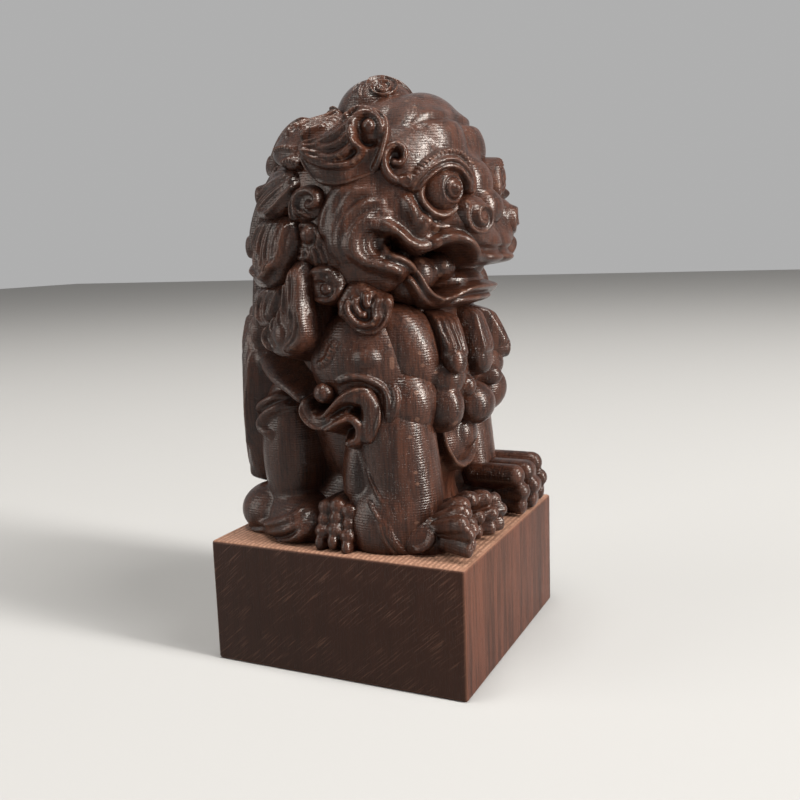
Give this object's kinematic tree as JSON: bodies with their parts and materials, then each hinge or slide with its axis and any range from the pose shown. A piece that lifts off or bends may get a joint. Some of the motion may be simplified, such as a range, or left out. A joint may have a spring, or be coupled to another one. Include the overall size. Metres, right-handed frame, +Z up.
{
  "type": "seal stamp",
  "caption": "Carved wooden seal stamp: a seated guardian lion with a curled mane on a square block, its underside the flat face that takes the seal.",
  "frame": {"origin": "middle of the seal face, which is the underside of the block", "axes": "+Z up along the stamp, -Y the way the lion faces, -X the lion's right side"},
  "size_m": [0.05, 0.05, 0.1057],
  "materials": {
    "block_wood": "dark reddish brown hardwood with fine straight grain, waxed to a satin shine",
    "carved_wood": "dark reddish brown hardwood, finely machined and waxed to a soft gloss"
  },
  "bodies": {
    "root": {"seal_block": "block_wood", "right_eye": "carved_wood", "left_eye": "carved_wood", "head": "carved_wood", "torso": "carved_wood", "nose": "carved_wood", "muzzle": "carved_wood", "lower_jaw": "carved_wood", "tongue": "carved_wood", "right_eyebrow": "carved_wood", "left_eyebrow": "carved_wood", "right_ear": "carved_wood", "left_ear": "carved_wood", "crown_knot": "carved_wood", "right_cheek_curl_1": "carved_wood", "left_cheek_curl_1": "carved_wood", "right_cheek_curl_2": "carved_wood", "left_cheek_curl_2": "carved_wood", "right_cheek_curl_3": "carved_wood", "left_cheek_curl_3": "carved_wood", "right_cheek_curl_4": "carved_wood", "left_cheek_curl_4": "carved_wood", "right_top_front_lock": "carved_wood", "left_top_front_lock": "carved_wood", "right_top_back_lock": "carved_wood", "left_top_back_lock": "carved_wood", "right_upper_front_lock": "carved_wood", "left_upper_front_lock": "carved_wood", "right_upper_back_lock": "carved_wood", "left_upper_back_lock": "carved_wood", "right_middle_front_lock": "carved_wood", "left_middle_front_lock": "carved_wood", "right_middle_back_lock": "carved_wood", "left_middle_back_lock": "carved_wood", "right_lower_front_lock": "carved_wood", "left_lower_front_lock": "carved_wood", "right_lower_back_lock": "carved_wood", "left_lower_back_lock": "carved_wood", "top_centre_lock": "carved_wood", "middle_centre_lock": "carved_wood", "lower_centre_lock": "carved_wood", "beard_middle_lock": "carved_wood", "right_beard_lock": "carved_wood", "left_beard_lock": "carved_wood", "right_shoulder_flame": "carved_wood", "left_shoulder_flame": "carved_wood", "right_upper_arm": "carved_wood", "left_upper_arm": "carved_wood", "chest": "carved_wood", "right_foreleg": "carved_wood", "left_foreleg": "carved_wood", "right_forepaw": "carved_wood", "left_forepaw": "carved_wood", "right_hind_foot": "carved_wood", "left_hind_foot": "carved_wood", "tail": "carved_wood", "right_tail_flame": "carved_wood", "left_tail_flame": "carved_wood", "right_haunch": "carved_wood", "left_haunch": "carved_wood"}
  },
  "joints": []
}
